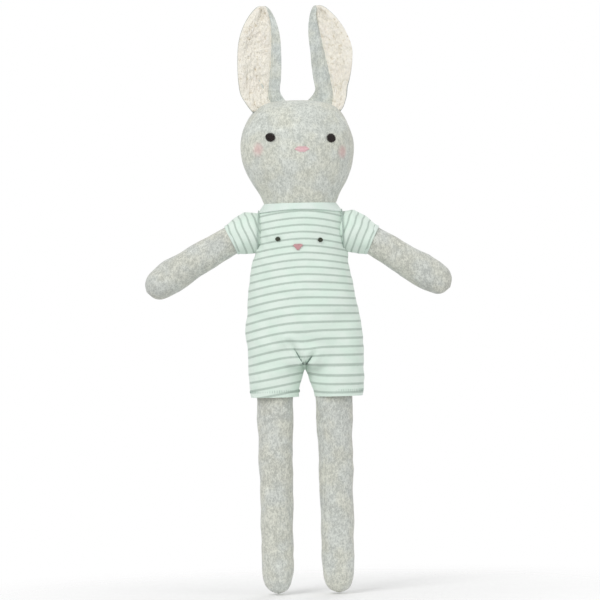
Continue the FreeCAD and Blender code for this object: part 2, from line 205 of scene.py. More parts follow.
def ring_faces(rings, around, capped=True):
    """Quads between rings of equal length; each cap is one fan to an added centre point."""
    faces = []
    for r in range(rings - 1):
        for i in range(around):
            j = (i + 1) % around
            a, b = r * around, (r + 1) * around
            faces.append((a + i, a + j, b + j, b + i))
    if capped:
        low, last = rings * around, (rings - 1) * around
        faces += [((i + 1) % around, i, low) for i in range(around)]
        faces += [(last + i, last + (i + 1) % around, low + 1) for i in range(around)]
    return faces


def hoop_faces(around, steps):
    """Faces of a closed section of some steps, swept round a ring; points run section by section."""
    faces = []
    for i in range(around):
        j = (i + 1) % around
        for k in range(steps):
            m = (k + 1) % steps
            faces.append((i * steps + k, i * steps + m, j * steps + m, j * steps + k))
    return faces


def slab_faces(rows, cols):
    """Faces of a closed slab: two layers of rows by cols points, one after the other, and their rim."""
    size = rows * cols
    faces = []
    for r in range(rows - 1):
        for c in range(cols - 1):
            a, b = r * cols + c, (r + 1) * cols + c
            faces.append((a, a + 1, b + 1, b))
            faces.append((size + b, size + b + 1, size + a + 1, size + a))
        for a in (r * cols, r * cols + cols - 1):
            faces.append((a, a + cols, size + a + cols, size + a))
    for r in (0, rows - 1):
        for a in range(r * cols, r * cols + cols - 1):
            faces.append((a, size + a, size + a + 1, a + 1))
    return faces


def tube(points, radius, sides):
    """Vertices and faces of a closed round cord through millimetre points."""
    verts = []
    count = len(points)
    for k, p in enumerate(points):
        ahead = points[min(k + 1, count - 1)] - points[max(k - 1, 0)]
        ahead.normalize()
        side = ahead.cross(Vector((0.31, 0.2, 0.93)))
        if side.length < 0.1:
            side = ahead.cross(Vector((0, 1, 0)))
        side.normalize()
        up = side.cross(ahead)
        r = radius(k / (count - 1)) if callable(radius) else radius
        verts += [p + (side * cos(a) + up * sin(a)) * r for a in angles(sides)]
    faces = []
    for k in range(count - 1):
        for s in range(sides):
            t = (s + 1) % sides
            a, b = k * sides, (k + 1) * sides
            faces.append((a + s, b + s, b + t, a + t))
    faces.append(tuple(range(sides)))
    faces.append(tuple(reversed(range((count - 1) * sides, count * sides))))
    return verts, faces


def merge(parts):
    verts, faces = [], []
    for v, f in parts:
        base = len(verts)
        verts += v
        faces += [tuple(i + base for i in face) for face in f]
    return verts, faces


def turned(point):
    """Carries a point from the straight head to the head's rest turn."""
    c, s = cos(HEAD_TURN), sin(HEAD_TURN)
    return Vector((point[0] * c - point[1] * s, point[0] * s + point[1] * c, point[2]))


def mirror_x(point):
    return Vector((-point[0], point[1], point[2]))


def attach(obj, body, *nodes):
    """Lets a piece ride on a body and stand in for its CAD nodes."""
    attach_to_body(obj, body)
    if nodes:
        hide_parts(*nodes)


def object_of(name, data):
    obj = bpy.data.objects.new(name, data)
    bpy.context.scene.collection.objects.link(obj)
    return obj


def subdivide(obj):
    mod = obj.modifiers.new("smooth", "SUBSURF")
    mod.levels = mod.render_levels = 1


def fix_normals(obj):
    mesh = bmesh.new()
    mesh.from_mesh(obj.data)
    bmesh.ops.recalc_face_normals(mesh, faces=mesh.faces)
    mesh.to_mesh(obj.data)
    mesh.free()


def round_off(obj):
    fix_normals(obj)
    subdivide(obj)


# ---- materials


class Nodes:
    """Short way to write a node tree."""

    def __init__(self, name):
        self.material = bpy.data.materials.new(name)
        self.material.use_nodes = True
        self.tree = self.material.node_tree
        self.tree.nodes.clear()

    def add(self, kind, inputs=None, **props):
        node = self.tree.nodes.new(kind)
        for key, value in props.items():
            setattr(node, key, value)
        for key, value in (inputs or {}).items():
            self.set(node, key, value)
        return node

    def set(self, node, key, value):
        socket = node.inputs[key]
        if isinstance(value, bpy.types.NodeSocket):
            self.tree.links.new(value, socket)
        else:
            socket.default_value = value

    def maths(self, operation, a, b=0.0):
        return self.add("ShaderNodeMath", {0: a, 1: b}, operation=operation).outputs[0]

    def times(self, a, b):
        return self.maths("MULTIPLY", a, b)

    def plus(self, a, b):
        return self.maths("ADD", a, b)

    def minus(self, a, b):
        return self.maths("SUBTRACT", a, b)

    def weave(self, place, across, up):
        """Waves across and up the cloth, at the two given pitches."""
        split = self.add("ShaderNodeSeparateXYZ", {0: place}).outputs
        pitches = ((0, across), (2, up))
        return [self.maths("SINE", self.times(split[axis], 2 * pi / pitch)) for axis, pitch in pitches]

    def smooth(self, value, low, high, out_low=0.0, out_high=1.0):
        node = self.add("ShaderNodeMapRange", {"Value": value, "From Min": low, "From Max": high,
                                               "To Min": out_low, "To Max": out_high},
                        interpolation_type="SMOOTHSTEP")
        return node.outputs["Result"]

    def noise(self, vector, scale, detail=2.0, rough=0.5):
        node = self.add("ShaderNodeTexNoise", {"Vector": vector, "Scale": scale, "Detail": detail,
                                               "Roughness": rough})
        return node.outputs["Fac"]

    def mix(self, factor, a, b, blend="MIX"):
        node = self.add("ShaderNodeMix", data_type="RGBA", blend_type=blend)
        self.set(node, 0, factor)
        self.set(node, 6, a)
        self.set(node, 7, b)
        return node.outputs[2]

    def rest(self):
        return self.add("ShaderNodeAttribute", attribute_name="rest").outputs["Vector"]

    def object_mm(self):
        return self.stretch(self.add("ShaderNodeTexCoord").outputs["Object"], 1000, 1000, 1000)

    def stretch(self, vector, x, y, z):
        return self.add("ShaderNodeMapping", {"Vector": vector, "Scale": (x, y, z)}).outputs["Vector"]

    def bump(self, height, strength, distance):
        inputs = {"Height": height, "Strength": strength, "Distance": distance}
        return self.add("ShaderNodeBump", inputs).outputs["Normal"]

    def finish(self, colour, roughness, normal, sheen):
        inputs = {"Base Color": colour, "Roughness": roughness, "Normal": normal, "Sheen Weight": sheen,
                  "Sheen Roughness": 0.5, "Sheen Tint": (1, 1, 1, 1), "Specular IOR Level": 0.15}
        shader = self.add("ShaderNodeBsdfPrincipled", inputs)
        self.add("ShaderNodeOutputMaterial", {"Surface": shader.outputs[0]})
        return self.material


def knit_material(name, light, dark, source="rest", blush=False):
    """Heather jersey: fine stitch columns, mixed light and dark fibres, soft mottling and fuzz."""
    n = Nodes(name)
    place = n.rest() if source == "rest" else n.object_mm()
    fibres = n.noise(n.stretch(place, 1.25, 1.25, 0.8), 0.95, 3.0, 0.75)
    flecks = n.noise(n.stretch(place, 1.0, 1.0, 0.6), 0.5, 4.0, 0.75)
    mottle = n.noise(place, 0.13, 3.0, 0.55)
    warm = n.noise(place, 0.075, 2.0, 0.5)
    mix = n.plus(n.times(fibres, 0.55), n.times(flecks, 0.45))
    mix = n.plus(mix, n.times(n.minus(mottle, 0.5), 0.16))
    colour = n.mix(n.smooth(mix, 0.40, 0.60), dark, light)
    pale = tuple(min(1.0, c * 1.22) for c in light[:3]) + (1,)
    colour = n.mix(n.smooth(flecks, 0.60, 0.72, 0.0, 0.75), colour, pale)
    deep = tuple(c * 0.62 for c in dark[:3]) + (1,)
    colour = n.mix(n.smooth(fibres, 0.36, 0.27, 0.0, 0.55), colour, deep)
    cool = n.mix(n.smooth(warm, 0.35, 0.65), (0.985, 1.0, 1.015, 1), (1.015, 1.005, 0.965, 1))
    colour = n.mix(1.0, colour, cool, "MULTIPLY")
    if blush:
        for side in (-1, 1):
            x = side * CHEEK_X
            half_w, half_d = lerp_table(HEAD_PROFILE, CHEEK_Z)
            centre = slumped(turned((x, -half_d * sqrt(1 - (x / half_w) ** 2), CHEEK_Z - 1.3 * side)))
            reach = n.add("ShaderNodeVectorMath", {0: place, 1: tuple(centre)}, operation="DISTANCE")
            far = n.plus(reach.outputs["Value"], n.times(n.minus(flecks, 0.5), 3.5))
            tint = n.smooth(far, CHEEK_R + 1.6, CHEEK_R - 3.0, 0.0, 0.62)
            colour = n.mix(tint, colour, (0.72, 0.46, 0.45, 1))
    column, row = n.weave(place, 0.85, 0.75)
    stitch = n.plus(n.times(column, 0.5), n.times(row, 0.3))
    height = n.plus(n.times(stitch, 0.28), n.times(fibres, 1.2))
    normal = n.bump(height, 0.55, 0.0005)
    return n.finish(colour, 0.93, normal, 0.35)


def stripe_material(name, ground, line, width=1.25, place_line=True):
    """Pale jersey with thin printed stripes read from the stripe coordinate, in stripe pitches."""
    n = Nodes(name)
    place = n.rest()
    fine = n.noise(n.stretch(place, 1.6, 1.6, 1.0), 1.3, 3.0, 0.7)
    cloud = n.noise(place, 0.10, 3.0, 0.5)
    dull = tuple(c * f for c, f in zip(ground[:3], (0.955, 0.985, 0.965))) + (1,)
    bright = tuple(min(1, c * f) for c, f in zip(ground[:3], (1.035, 1.01, 1.02))) + (1,)
    tone = n.mix(n.smooth(cloud, 0.3, 0.7), dull, bright)
    tone = n.mix(n.smooth(fine, 0.62, 0.35, 0.0, 0.22), tone, tuple(c * 0.84 for c in ground[:3]) + (1,))
    if place_line:
        band = n.add("ShaderNodeAttribute", attribute_name="stripe").outputs["Fac"]
        wobble = n.times(n.minus(fine, 0.5), 0.10)
        phase = n.maths("FRACT", n.plus(band, wobble))
        off = n.maths("ABSOLUTE", n.minus(phase, 0.5))
        half = width / STRIPE_PITCH_CHEST / 2
        ink = n.smooth(off, half * 1.45, half * 0.45, 0.0, 0.92)
        ink = n.times(ink, n.smooth(fine, 0.25, 0.6, 1.0, 0.72))
        tone = n.mix(ink, tone, line)
    column, row = n.weave(place, 0.62, 0.55)
    height = n.plus(n.times(column, 0.4), n.times(row, 0.25))
    height = n.plus(height, n.times(fine, 0.9))
    return n.finish(tone, 0.88, n.bump(height, 0.35, 0.0004), 0.3)


def sherpa_material():
    """Cream fleece: tight curls with painted shade (a darker, warmer cream) in the hollows and a painted
    highlight on the curl tops, with a few pinkish and straw tints.
    """
    n = Nodes("cream_sherpa")
    place = n.rest()
    curls = n.noise(place, 0.45, 4.0, 0.62)
    clumps = n.noise(place, 0.2, 2.0, 0.5)
    fibre = n.noise(place, 2.4, 2.0, 0.7)
    tint = n.noise(place, 0.085, 1.0, 0.5)
    deep = n.plus(n.times(curls, 0.65), n.times(clumps, 0.35))
    # Darker, warmer cream where the curls and clumps are low: painted shade in the hollows.
    colour = n.mix(n.smooth(deep, 0.31, 0.47), (0.71, 0.63, 0.48, 1), (0.99, 0.95, 0.845, 1))
    colour = n.mix(n.smooth(tint, 0.48, 0.66, 0.0, 0.20), colour, (0.95, 0.85, 0.76, 1))
    # Paler cream on the tops of the curls: painted highlight.
    colour = n.mix(n.smooth(curls, 0.52, 0.66, 0.0, 0.65), colour, (0.99, 0.96, 0.90, 1))
    height = n.plus(n.times(curls, 2.4), n.times(fibre, 0.5))
    return n.finish(colour, 0.95, n.bump(height, 0.8, 0.001), 0.25)


def thread_material(name, colour, shade):
    """Satin embroidery thread: a fine twist along the strands, with painted shade in the twist's grooves."""
    n = Nodes(name)
    place = n.rest()
    twist = n.noise(n.stretch(place, 2.0, 2.0, 5.0), 1.4, 2.0, 0.6)
    # Darker colour where the twist is low: painted shade in the grooves.
    tone = n.mix(n.smooth(twist, 0.35, 0.65), shade, colour)
    return n.finish(tone, 0.5, n.bump(twist, 0.5, 0.0002), 0.15)


def filling_material():
    n = Nodes("fibre_filling")
    place = n.object_mm()
    wisps = n.noise(place, 0.5, 5.0, 0.7)
    tone = n.mix(n.smooth(wisps, 0.3, 0.7), (0.72, 0.72, 0.70, 1), (0.93, 0.93, 0.91, 1))
    return n.finish(tone, 0.97, n.bump(wisps, 0.8, 0.001), 0.4)


def tape_material():
    n = Nodes("closure_tape")
    place = n.object_mm()
    hooks = n.add("ShaderNodeTexVoronoi", {"Vector": place, "Scale": 1.4}).outputs["Distance"]
    tone = n.mix(n.smooth(hooks, 0.1, 0.6), (0.86, 0.88, 0.84, 1), (0.66, 0.70, 0.66, 1))
    return n.finish(tone, 0.7, n.bump(hooks, 0.7, 0.0006), 0.2)


def floor_material():
    n = Nodes("studio_floor")
    place = n.add("ShaderNodeTexCoord").outputs["Object"]
    grain = n.noise(place, 60.0, 2.0, 0.5)
    tone = n.mix(grain, (0.92, 0.92, 0.92, 1), (0.95, 0.95, 0.95, 1))
    paper = n.add("ShaderNodeBsdfPrincipled", {"Base Color": tone, "Roughness": 0.9})
    clear = n.add("ShaderNodeBsdfTransparent")
    far = n.add("ShaderNodeVectorMath", {0: place}, operation="LENGTH").outputs["Value"]
    fade = n.smooth(far, 0.02, 0.30)
    both = n.add("ShaderNodeMixShader", {0: fade, 1: paper.outputs[0], 2: clear.outputs[0]})
    n.add("ShaderNodeOutputMaterial", {"Surface": both.outputs[0]})
    return n.material


SLOT_OF = {"grey_knit_face": "grey_knit", "grey_knit_ear": "grey_knit", "grey_knit_inner": "grey_knit",
           "rose_thread": "pink_thread", "seam_thread": "mint_rib", "crease_shade_thread": "mint_rib"}
GREY_LIGHT = (0.72, 0.735, 0.68, 1)
GREY_DARK = (0.47, 0.485, 0.45, 1)
MINT = (0.805, 0.93, 0.845, 1)
LINE = (0.40, 0.49, 0.43, 1)
knit = knit_material("grey_knit", GREY_LIGHT, GREY_DARK)
# The head's grey knit is a lighter copy of the body's knit: painted light. The pink cheeks are the doll's own
# colour.
knit_face_painted_light = knit_material("grey_knit_face", (0.76, 0.78, 0.715, 1), (0.51, 0.53, 0.485, 1), blush=True)
knit_ear = knit_material("grey_knit_ear", (0.70, 0.73, 0.69, 1), (0.49, 0.52, 0.49, 1))
knit_inner = knit_material("grey_knit_inner", GREY_LIGHT, GREY_DARK, source="object")
stripes = stripe_material("mint_stripe_jersey", MINT, LINE)
rib = stripe_material("mint_rib", (0.77, 0.88, 0.82, 1), LINE, place_line=False)
sherpa = sherpa_material()
dark_thread = thread_material("dark_thread", (0.035, 0.024, 0.022, 1), (0.012, 0.009, 0.009, 1))
pink_thread = thread_material("pink_thread", (0.90, 0.64, 0.66, 1), (0.76, 0.49, 0.52, 1))
rose_thread = thread_material("rose_thread", (0.74, 0.43, 0.45, 1), (0.62, 0.33, 0.35, 1))
green_thread = thread_material("green_thread", (0.085, 0.095, 0.065, 1), (0.03, 0.035, 0.025, 1))
seam_thread = thread_material("seam_thread", (0.50, 0.60, 0.54, 1), (0.36, 0.45, 0.40, 1))
# Dark green-grey thread for the crotch seam cords: painted shade of the creases.
crease_shade_thread = thread_material("crease_shade_thread", (0.22, 0.31, 0.27, 1), (0.14, 0.20, 0.17, 1))
filling = filling_material()
tape = tape_material()

# ---- head


def head_radii(z):
    if z < 254:
        r = sqrt(max(HEAD_BALL_R ** 2 - (z - HEAD_PIVOT_Z) ** 2, 0.01))
        return r, r
    return lerp_table(HEAD_PROFILE, z)


def on_front(half_sizes, x, z, lift):
    """Point on the front of an oval skin of these half sizes, at this x and z, raised by lift."""
    half_w, half_d = half_sizes
    y = -half_d * sqrt(max(1 - (x / half_w) ** 2, 0.0))
    out = Vector((x / half_w ** 2, y / half_d ** 2, 0)).normalized()
    return Vector((x, y, z)) + out * lift


def make_head():
    around = 128
    verts = []
    levels = frange(HEAD_LOW_Z, 312, 1.3) + frange(312.8, 317.8, 0.7) + [318.3]
    for z in levels:
        half_w, half_d = head_radii(z)
        for a in angles(around):
            p = Vector((half_w * cos(a), half_d * sin(a), z))
            out = Vector((cos(a) / half_w, sin(a) / half_d, 0)).normalized()
            seam = bell(p.y, 0.9) if z > 254 else 0.0
            lumps = bumps(p, 17, 0.9, 3.1) + bumps(p, 7, 0.28, 8.0)
            fade = share((z - 254) / 8)
            verts.append(slumped(turned(p + out * (lumps * fade - 0.75 * seam))))
    verts += [slumped(turned((0, 0, z))) for z in (HEAD_LOW_Z, 318.5)]
    head = new_object("head_knit", verts, ring_faces(len(levels), around), knit_face_painted_light)
    subdivide(head)
    attach(head, "head", "head_front", "head_back", "head_stuffing")


def thread_patch(node, place, rows, thickness, material, body, dome=0.25):
    """Satin stitches side by side; place(u, v, lift) gives the surface point."""
    parts = []
    count = 9
    for u, low, high in rows:
        if high - low < thickness:
            continue
        points = []
        for k in range(count):
            t = k / (count - 1)
            rise = dome * sqrt(max(0.0, 1 - (2 * t - 1) ** 4))
            points.append(place(u, low + (high - low) * t, rise))
        parts.append(tube(points, lambda t: thickness * (0.55 + 0.45 * sin(pi * t)), 7))
    attach(new_object(node + "_stitches", *merge(parts), material), body, node)


def disc_rows(radius, uneven, step):
    """Upright stitches (across, low, high) that fill a disc with a slightly uneven edge."""
    rows = []
    for u in frange(-radius + step * 0.4, radius - step * 0.4, step):
        half = sqrt(max(radius ** 2 - u ** 2, 0))
        jitter = uneven * sin(u * 9.0)
        rows.append((u, -half - jitter * 0.5, half + jitter))
    return rows


def nose_rows(half_w, half_top, top, side, bottom, half_bottom, step):
    """Upright stitches under a flat top, between slanting sides."""
    rows = []
    for u in frange(-half_w + step * 0.4, half_w - step * 0.4, step):
        far = abs(u)
        upper = top if far < half_top else top + (side - top) * (far - half_top) / (half_w - half_top)
        lower = bottom
        if far >= half_bottom:
            lower = bottom + (side - bottom) * (far - half_bottom) / (half_w - half_bottom)
        rows.append((u, lower, upper))
    return rows


def make_face():
    for side, sign in SIDES:

        def place(u, v, lift, sign=sign):
            lean = 0.45
            x = sign * EYE_X + u * cos(lean) + v * sin(lean)
            z = EYE_Z - 0.55 * sign - u * sin(lean) + v * cos(lean)
            return slumped(turned(on_front(head_radii(z), x, z, 0.25 + lift)))

        thread_patch("eye_" + side, place, disc_rows(EYE_R, 0.12, 0.42), 0.28, dark_thread, "head", 0.35)

    def nose_place(u, v, lift):
        return slumped(turned(on_front(head_radii(NOSE_Z + v), u, NOSE_Z + v, 0.2 + lift)))

    rows = nose_rows(4.7, 2.6, 2.0, 0.2, -2.1, 1.6, 0.45)
    thread_patch("nose", nose_place, rows, 0.28, pink_thread, "head")


# ---- ears


def ear_point(u, v, layer, sign):
    """Point of the curled ear: u runs from the outer edge (-1) to the inner edge (1), v up, layer forward."""
    half = lerp_table(EAR_PROFILE, v)[0]
    if u > 0:
        half -= (3.2 if sign > 0 else 2.3) * u * share((70 - v) / 40)
        half -= (2.1 if sign > 0 else 0.8) * u * share((30 - v) / 22)
    elif sign > 0:
        rooted = share((v + 6) / 14)
        half += 4.2 * u * rooted * share((34 - v) / 30) ** 1.5
    angle = u * EAR_CURL
    radius = half / sin(EAR_CURL)
    depth = radius * (1 - cos(angle)) * 0.6
    normal = Vector((-sin(angle), -cos(angle), 0))
    p = Vector((radius * sin(angle), -depth, v)) + normal * layer
    p.y += 1.8
    base = max(0.0, (4 - v) / 13)
    p.x += 3.0 * base ** 1.3 + (3.4 if sign > 0 else 2.2) * max(0.0, (v - 30) / 31) ** 2
    p.x += (7.0 if sign > 0 else 5.2) * max(0.0, u) * max(0.0, (7 - v) / 8) ** 1.5
    if sign > 0:
        p.x += 3.3 * max(0.0, (v - 30) / 31)
    p.y -= 2.5 * base
    return p


def lining_edge(v, sign):
    """Inner limit of the sherpa: the knit back wraps over the rest of the ear's inner side."""
    edge = 0.26 if sign > 0 else 0.55
    low = (0.36 if sign > 0 else 0.20) * min(1.2, max(0.0, (34 - v) / 31))
    return edge + 0.30 * max(0.0, (v - 30) / 30) ** 2 - low


def make_ear(side, sign):
    def to_doll(p):
        return slumped(turned((sign * (EAR_X - p.x), p.y, EAR_BASE_Z + p.z)))

    def sheet(name, u_range, v_low, v_high, front, back, lump, material, cad):
        cols, rows = 44, 66
        verts = []
        for face_side in (0, 1):
            for r in range(rows):
                t = r / (rows - 1)
                v = v_low + (v_high - v_low) * (1 - (1 - t) ** 1.35)
                u_low, u_high = u_range(v)
                for c in range(cols):
                    w = c / (cols - 1)
                    u = u_low + (u_high - u_low) * w
                    edge = 1 - abs(2 * w - 1) ** 7
                    end = share((v_high - v) / 2.5)
                    swell = max(0.0, edge) * end ** 0.5
                    p = ear_point(u, v, back, sign)
                    if face_side == 0:
                        p = ear_point(u, v, back + (front - back + lump(u, v)) * swell, sign)
                    verts.append(to_doll(p + Vector((0, bumps((u * 14, v, 2), 10, 1.0, 1.0 + sign), 0))))
        ear = new_object(name, verts, slab_faces(rows, cols), material)
        round_off(ear)
        start = to_doll(Vector((0, 0, -2.5))) * MM
        end = to_doll(Vector((0, 0, 16.0))) * MM
        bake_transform(ear)
        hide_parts(cad)

    def fleece(u, v):
        q = Vector((u * 14.5, v, 4.0 + 9 * sign))
        curls = 1 - abs(noise.noise(q / 2.3)) * 2
        creases = 1 - abs(noise.noise(q / 6.5 + Vector((3, 1, 7)))) * 2
        fold = bell(u * 14.5 - 0.2 - (10.5 - v) * 0.45, 1.1) * bell(v - 9, 6)
        return 1.3 * curls ** 2 - 1.0 * max(0.0, creases) ** 6 - (3.0 if sign < 0 else 0.0) * fold

    def wrapped_rim(u, v):
        return 1.6 * bell(u - lining_edge(v, sign) - 0.13, 0.12)

    sheet("ear_" + side + "_knit", lambda v: (-0.95, 1.0), -8.5, 60.9, 1.2, -0.9, wrapped_rim, knit_ear,
          "ear_" + side + "_back")
    sheet("ear_" + side + "_sherpa", lambda v: (-1.07, lining_edge(v, sign)), -7.5, 60.8, 2.8, 0.1, fleece,
          sherpa, "ear_" + side + "_lining")


# ---- romper


def stripe_count(z):
    """Number of stripes from the collar down to a height; the pitch grows from the chest to the hips."""
    chest_low, hip_high = 222.0, 176.0
    count = (STRIPE_START - max(z, chest_low)) / STRIPE_PITCH_CHEST
    if z < chest_low:
        t = (chest_low - max(z, hip_high)) / (chest_low - hip_high)
        mean = STRIPE_PITCH_CHEST + (STRIPE_PITCH_HIP - STRIPE_PITCH_CHEST) * t / 2
        count += (chest_low - max(z, hip_high)) / mean
    if z < hip_high:
        count += (hip_high - z) / STRIPE_PITCH_HIP
    return count


def body_stripe(p):
    """Stripe coordinate of the romper body: lines bow up in the middle and hang lower on the doll's right."""
    x, y, z = p
    low = share((228 - z) / 55)
    leg = share((152 - z) / 12)
    if y > 0:
        drop = 3.0 * (x / 34) ** 2
    elif x < 3:
        reach = (3 - x) / 37
        drop = (5.2 + 1.2 * low) * (reach ** 1.7 * (1 - leg) + reach * leg)
    else:
        reach = (x - 3) / 31
        drop = 5.2 * (1 - low) ** 1.3 * reach ** 1.8 + 2.6 * leg * (1 - exp(-(x - 3) / 6))
    sag = 1.5 * bell(x - 2, 8) * bell(z - 162, 9) if y < 0 else 0.0
    return stripe_count(z + drop + sag) + 0.5


def ring_mesh(name, rings):
    around = len(rings[0])
    verts = [p for ring in rings for p in ring]
    verts += [sum(rings[0], Vector()) / around, sum(rings[-1], Vector()) / around]
    obj = bare_object(name, verts, ring_faces(len(rings), around))
    fix_normals(obj)
    return obj


def oval(cx, z, half_w, half_d):
    return [Vector((cx + half_w * cos(a), half_d * sin(a), z)) for a in angles(72)]


def apply_modifiers(obj):
    bpy.context.view_layer.update()
    graph = bpy.context.evaluated_depsgraph_get()
    mesh = bpy.data.meshes.new_from_object(obj.evaluated_get(graph))
    obj.modifiers.clear()
    obj.data = mesh


def romper_blank():
    """The whole romper body as one closed skin: torso and two shorts legs, melted together."""
    rings = []
    for z in frange(CROTCH_Z + 1.5, 249.3, 2.2):
        half_w, half_d = lerp_table(TORSO_PROFILE, z)
        shrink = 1 - 0.04 * max(0.0, 156 - z) / 10
        rings.append(oval(0, z, (half_w - 0.7) * shrink, half_d * shrink))
    body = ring_mesh("romper_blank", rings)
    legs = []
    for sign in (1, -1):
        rings = []
        for z in frange(SHORTS_HEM_Z - 1.5, 176, 2.2):
            t = share((z - SHORTS_HEM_Z) / 30)
            close = share((z - SHORTS_HEM_Z) / (CROTCH_Z - SHORTS_HEM_Z))
            skew = 0.6 * close
            half_w = 15.6 + 2.75 * close + sign * skew
            half_d = 15.9 + 3.6 * t
            rings.append(oval(sign * (SHORTS_HEM_X - 1.45 * close) - skew, z, half_w, half_d))
        legs.append(ring_mesh("romper_blank_leg", rings))
    bpy.ops.object.select_all(action="DESELECT")
    for obj in legs + [body]:
        obj.select_set(True)
    bpy.context.view_layer.objects.active = body
    bpy.ops.object.join()
    remesh = body.modifiers.new("melt", "REMESH")
    remesh.mode = "VOXEL"
    remesh.voxel_size = MELT_VOXEL * MM
    melt = body.modifiers.new("relax", "SMOOTH")
    melt.factor = 0.6
    melt.iterations = 10
    apply_modifiers(body)
    settle_cloth(body)
    return body


def settle_cloth(body):
    """Lets a padded skin pull tight as cloth, and carries the small moves over to the fine mesh."""
    scene = bpy.context.scene
    proxy = object_of("cloth_proxy", body.data.copy())
    coarse = proxy.modifiers.new("coarse", "REMESH")
    coarse.mode = "VOXEL"
    coarse.voxel_size = CLOTH_VOXEL * MM
    apply_modifiers(proxy)
    start = [v.co.copy() for v in proxy.data.vertices]
    pins = proxy.vertex_groups.new(name="pins")
    low = min(p.z for p in start) + 4 * MM
    high = max(p.z for p in start) - 5 * MM
    pins.add([i for i, p in enumerate(start) if p.z < low or p.z > high], 1.0, "REPLACE")
    cloth = proxy.modifiers.new("cloth", "CLOTH")
    cloth.settings.vertex_group_mass = "pins"
    cloth.settings.use_pressure = True
    cloth.settings.uniform_pressure_force = CLOTH_PRESSURE
    cloth.settings.effector_weights.gravity = 0.0
    cloth.point_cache.frame_start = 1
    cloth.point_cache.frame_end = CLOTH_FRAMES
    for frame_number in range(1, CLOTH_FRAMES + 1):
        scene.frame_set(frame_number)
    graph = bpy.context.evaluated_depsgraph_get()
    settled = proxy.evaluated_get(graph).data
    tree = KDTree(len(start))
    moves = []
    for i, p in enumerate(start):
        tree.insert(p, i)
        move = settled.vertices[i].co - p
        if move.length > CLOTH_CAP * MM:
            move = move.normalized() * CLOTH_CAP * MM
        moves.append(move)
    tree.balance()
    for v in body.data.vertices:
        total, weight = Vector(), 0.0
        for _, i, far in tree.find_n(v.co, 6):
            pull = 1 / (far + 0.5 * MM)
            total += moves[i] * pull
            weight += pull
        v.co += total / weight
    bpy.data.objects.remove(proxy)
    scene.frame_set(1)


def wrinkle(p):
    """Soft folds of thin jersey: slanting pulls at the hips, small ripples over the belly and armholes."""
    x, y, z = p
    total = bumps((x * 0.7, y * 0.7, z), 15, 1.5, 4.0) * 0.7
    total += bumps((x, y, z * 2.2), 12, 0.9, 9.0) * 0.6
    hip = bell(z - 160, 16)
    slant = sin((abs(x) * 0.9 + (z - 150) * 1.35) / 4.6)
    total += 0.55 * hip * slant * share((22 - abs(abs(x) - 12)) / 22)
    arm = bell((Vector((abs(x), y * 0.6, z)) - Vector((29, 0, 230))).length, 13)
    total += 0.5 * arm * sin(z / 2.0 + x)
    return total


def crotch_fold(p):
    """The V of the crotch gusset: two creases that meet under the belly, deepest at the point."""
    x, y, z = p
    if y > 0:
        return 0.0
    depth = 0.0
    for x0, z0, x1, z1, deep in CROTCH_CREASES:
        t = share(((x - x0) * (x1 - x0) + (z - z0) * (z1 - z0)) / ((x1 - x0) ** 2 + (z1 - z0) ** 2))
        far = hypot(x - x0 - (x1 - x0) * t, z - z0 - (z1 - z0) * t)
        depth += deep * bell(far, 1.5) * (0.2 + 0.8 * sin(pi * min(1.0, t * 0.85)))
        depth -= 0.8 * bell(far - 3.0, 1.8) * (1 - t)
    return depth


def shape_romper(body):
    mesh = bmesh.new()
    mesh.from_mesh(body.data)
    mesh.normal_update()
    moves = []
    for v in mesh.verts:
        p = v.co / MM
        fade = share((247 - p.z) / 6) * share((p.z - SHORTS_HEM_Z) / 5)
        amount = wrinkle(p) * fade - crotch_fold(p)
        moves.append(v.normal * amount * MM)
    for v, move in zip(mesh.verts, moves):
        v.co += move
    drop = [v for v in mesh.verts if v.co.z / MM < SHORTS_HEM_Z - 0.6]
    bmesh.ops.delete(mesh, geom=drop, context="VERTS")
    hole = [v for v in mesh.verts if v.co.z / MM > 248.4 and hypot(v.co.x, v.co.y) / MM < 21.8]
    bmesh.ops.delete(mesh, geom=hole, context="VERTS")
    mesh.to_mesh(body.data)
    mesh.free()


def cut_piece(body, name, keeps):
    """Copy of the romper kept on one side of each plane (point, outward normal of what is dropped)."""
    mesh = bmesh.new()
    mesh.from_mesh(body.data)
    for point, normal in keeps:
        bmesh.ops.bisect_plane(mesh, geom=mesh.verts[:] + mesh.edges[:] + mesh.faces[:], dist=1e-7,
                               plane_co=Vector(point) * MM, plane_no=normal, clear_outer=True)
    data = bpy.data.meshes.new(name)
    for v in mesh.verts:
        v.co = slumped(v.co / MM) * MM
    mesh.to_mesh(data)
    mesh.free()
    return object_of(name, data)


def make_shaded_crotch_seams(body):
    """Sunk seam of the crotch gusset along each crease, as a cord coloured dark green-grey: painted shade of
    the creases over a real seam.
    """
    points = [v.co / MM for v in body.data.vertices]
    skin = BVHTree.FromPolygons(points, [p.vertices for p in body.data.polygons])
    for side, (x0, z0, x1, z1, _) in zip(("right", "left"), CROTCH_CREASES):
        points = []
        for t in frange(0.3, 1.0, 0.05):
            at = Vector((x0 + (x1 - x0) * t, -60, z0 + (z1 - z0) * t))
            hit = skin.ray_cast(at, Vector((0, 1, 0)))[0]
            points.append(slumped(hit + Vector((0, 0.15, 0))))
        cord = tube(points, lambda t: 0.16 + 0.34 * sin(pi * min(1.0, 0.1 + t * 0.8)), 7)
        # The cords carry painted shade: their dark colour stands for the shade in the creases.
        seam = new_object("crotch_seam_shade_" + side, *cord, crease_shade_thread)
        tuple(HIP_BEND[0])
        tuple(HIP_BEND[1])
        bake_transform(seam)


